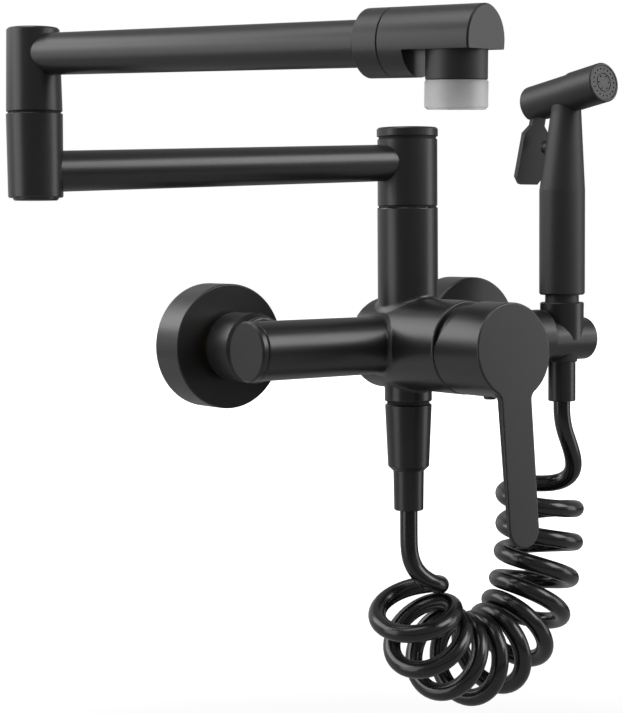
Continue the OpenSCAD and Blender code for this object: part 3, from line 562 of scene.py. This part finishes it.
def casting(points):
    bar = rod(points, (BAR_LEFT, BAR_Y, 0), (BAR_RIGHT, BAR_Y, 0), BAR_R, 0.0012)
    housing = rod(points, (0, HOUSING_BACK_Y, 0), (0, FRONT_Y, 0), HOUSING_R, 0.0008)
    post = rod(points, (0, BAR_Y, 0), (0, BAR_Y, POST_TOP), POST_R, 0.0005)
    outlet = rod(points, (0, BAR_Y, 0), (0, BAR_Y, OUTLET_Z), OUTLET_R, 0.0005)
    stub = rod(points, (0, BAR_Y, 0), (0, BAR_Y, STUB_Z), STUB_R, 0.0003)
    body = fillet(fillet(bar, housing, BODY_FILLET), post, BODY_FILLET)
    body = fillet(body, outlet, OUTLET_FILLET)
    for x in (-INLET_X, INLET_X):
        boss = rod(points, (x, BOSS_Y[0], 0), (x, BOSS_Y[1], 0), BOSS_R, 0.0009)
        saddle = rod(points, (x, SADDLE_BACK_Y, 0), (x, BAR_Y, 0), SADDLE_R, 0.0003)
        body = fillet(fillet(body, saddle, SADDLE_FILLET), boss, BOSS_FILLET)
    return np.minimum(body, stub)


def add_casting():
    low, high = (-0.0895, FRONT_Y, -0.0342), (0.0858, -0.0402, POST_TOP)
    skin_of_body = skin("casting", casting, low, high, CASTING_CELL, "black_coat")
    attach(skin_of_body, "mixer")
    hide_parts("mixer_body")


add_casting()


# Lever: a round housing with a thin blade that runs down from its front face
LEVER_LEAN = math.radians(4.9)
LEVER_DEPTH = 0.0306
LEVER_R = 0.02135
LEVER_GAP = 0.0002
LEVER_UNDERCUT = math.radians(25)
BLADE_R = 0.0089
BLADE_END = 0.087
BLADE_ROOT_T = 0.004
BLADE_THINNING = 0.0021
BLADE_FILLET = 0.0022
BLADE_EDGE = 0.0006
HOLLOW_R = 0.0199
HOLLOW_DEPTH = 0.0148
LEVER_CELL = 0.00055


def lever_shape(points):
    x, z = points[:, 0], points[:, 2]
    out = FRONT_Y - points[:, 1]
    round_off = np.hypot(x, z)
    face = LEVER_DEPTH - z * math.tan(LEVER_LEAN)
    front = (out - face) * math.cos(LEVER_LEAN)
    relief = (LEVER_GAP + z * math.tan(LEVER_UNDERCUT) - out) * math.cos(LEVER_UNDERCUT)
    back = np.maximum(LEVER_GAP - out, relief)
    housing = crest(round_off - LEVER_R, back, 0.0004)
    below = np.clip(-z, 0, BLADE_END - BLADE_R)
    side = np.hypot(x, z + below) - BLADE_R
    thick = BLADE_ROOT_T - BLADE_THINNING * np.clip(-z / BLADE_END, 0, 1)
    blade = crest(side, face - thick - out, BLADE_EDGE)
    shape = crest(fillet(housing, blade, BLADE_FILLET), front, BLADE_EDGE)
    hollow = np.maximum(round_off - HOLLOW_R, out - HOLLOW_DEPTH)
    return crest(shape, -hollow, 0.0003)


def add_lever():
    low, high = (-LEVER_R, FRONT_Y - 0.0384, -BLADE_END), (LEVER_R, FRONT_Y, LEVER_R)
    lever = skin("lever_blade_and_housing", lever_shape, low, high, LEVER_CELL, "black_coat")
    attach(lever, "lever")
    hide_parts("lever_handle")


add_lever()


# Floor, backdrop and lights
FLOOR_Z = -0.40
FLOOR_SIZE = 14
FILL_STRENGTH = 0.10
BACKDROP_IN_GLOSS = 0.3


def white_floor():
    """White to the eye but for the faucet's own shadow, and matt grey to the faucet."""
    r = Recipe("white_floor")
    seen = r.node("ShaderNodeLightPath", output="Is Camera Ray")
    away = r.node("ShaderNodeVectorMath", {"operation": "LENGTH"}, {0: r.place()}, "Value")
    reach = {"Value": away, "From Min": 0.9, "From Max": 1.8, "To Min": 0.5, "To Max": 1.0}
    matt = r.node("ShaderNodeBsdfDiffuse", None, {"Color": r.between(r.noise(3, 2), grey(0.46), grey(0.50))})
    glow = r.node("ShaderNodeEmission", None, {"Color": grey(1.0), "Strength": 1.6})
    whitened = seen * r.node("ShaderNodeMapRange", None, reach)
    return r.show(r.node("ShaderNodeMixShader", None, {0: whitened, 1: matt, 2: glow}))


def add_floor():
    mesh = bpy.data.meshes.new("floor")
    half = FLOOR_SIZE / 2
    corners = [(-half, -half, FLOOR_Z), (half, -half, FLOOR_Z), (half, half, FLOOR_Z), (-half, half, FLOOR_Z)]
    mesh.from_pydata(corners, [], [(0, 1, 2, 3)])
    floor = bpy.data.objects.new("floor", mesh)
    bpy.context.collection.objects.link(floor)
    mesh.materials.append(white_floor())


def add_world():
    world = bpy.data.worlds.new("studio")
    world.use_nodes = True
    r = Recipe.on(world.node_tree)
    white = r.node("ShaderNodeBackground", None, {"Color": grey(1.0), "Strength": 1.0})
    fill = r.node("ShaderNodeBackground", None, {"Color": grey(0.9), "Strength": FILL_STRENGTH})
    shown = r.shows_backdrop(BACKDROP_IN_GLOSS)
    mixed = r.node("ShaderNodeMixShader", None, {0: shown, 1: fill, 2: white})
    r.node("ShaderNodeOutputWorld", None, {"Surface": mixed}, None)
    bpy.context.scene.world = world


# Soft lamps: name, place, aim, width and height, watts
MIDDLE = (0, -0.08, 0.03)
LAMPS = [
    ("key_front", (0.66, -1.04, 0.78), MIDDLE, (0.80, 0.80), 11),
    ("backdrop_glow", (-0.35, 1.15, 0.00), (-0.05, -0.08, 0.0), (1.8, 1.5), 3),
    ("left_side", (-1.48, 0.28, 0.20), (-0.1, -0.12, 0.05), (0.9, 1.3), 7.5),
    ("back_high", (-0.94, 0.92, 0.80), (-0.05, -0.08, 0.05), (1.3, 0.9), 12),
    ("top_left", (-0.60, 0.00, 1.50), MIDDLE, (1.2, 1.2), 12),
    ("right_fill", (1.34, -0.95, -0.05), MIDDLE, (0.75, 1.3), 6.5),
]


def add_lamp(name, at, aim, size, watts):
    data = bpy.data.lights.new(name, "AREA")
    data.shape = "RECTANGLE"
    data.size, data.size_y = size
    data.energy = watts
    lamp = bpy.data.objects.new(name, data)
    lamp.location = at
    lamp.rotation_euler = (Vector(aim) - Vector(at)).to_track_quat("-Z", "Y").to_euler()
    bpy.context.collection.objects.link(lamp)


add_floor()
add_world()
for lamp_row in LAMPS:
    add_lamp(*lamp_row)

bpy.context.scene.view_settings.view_transform = "Standard"
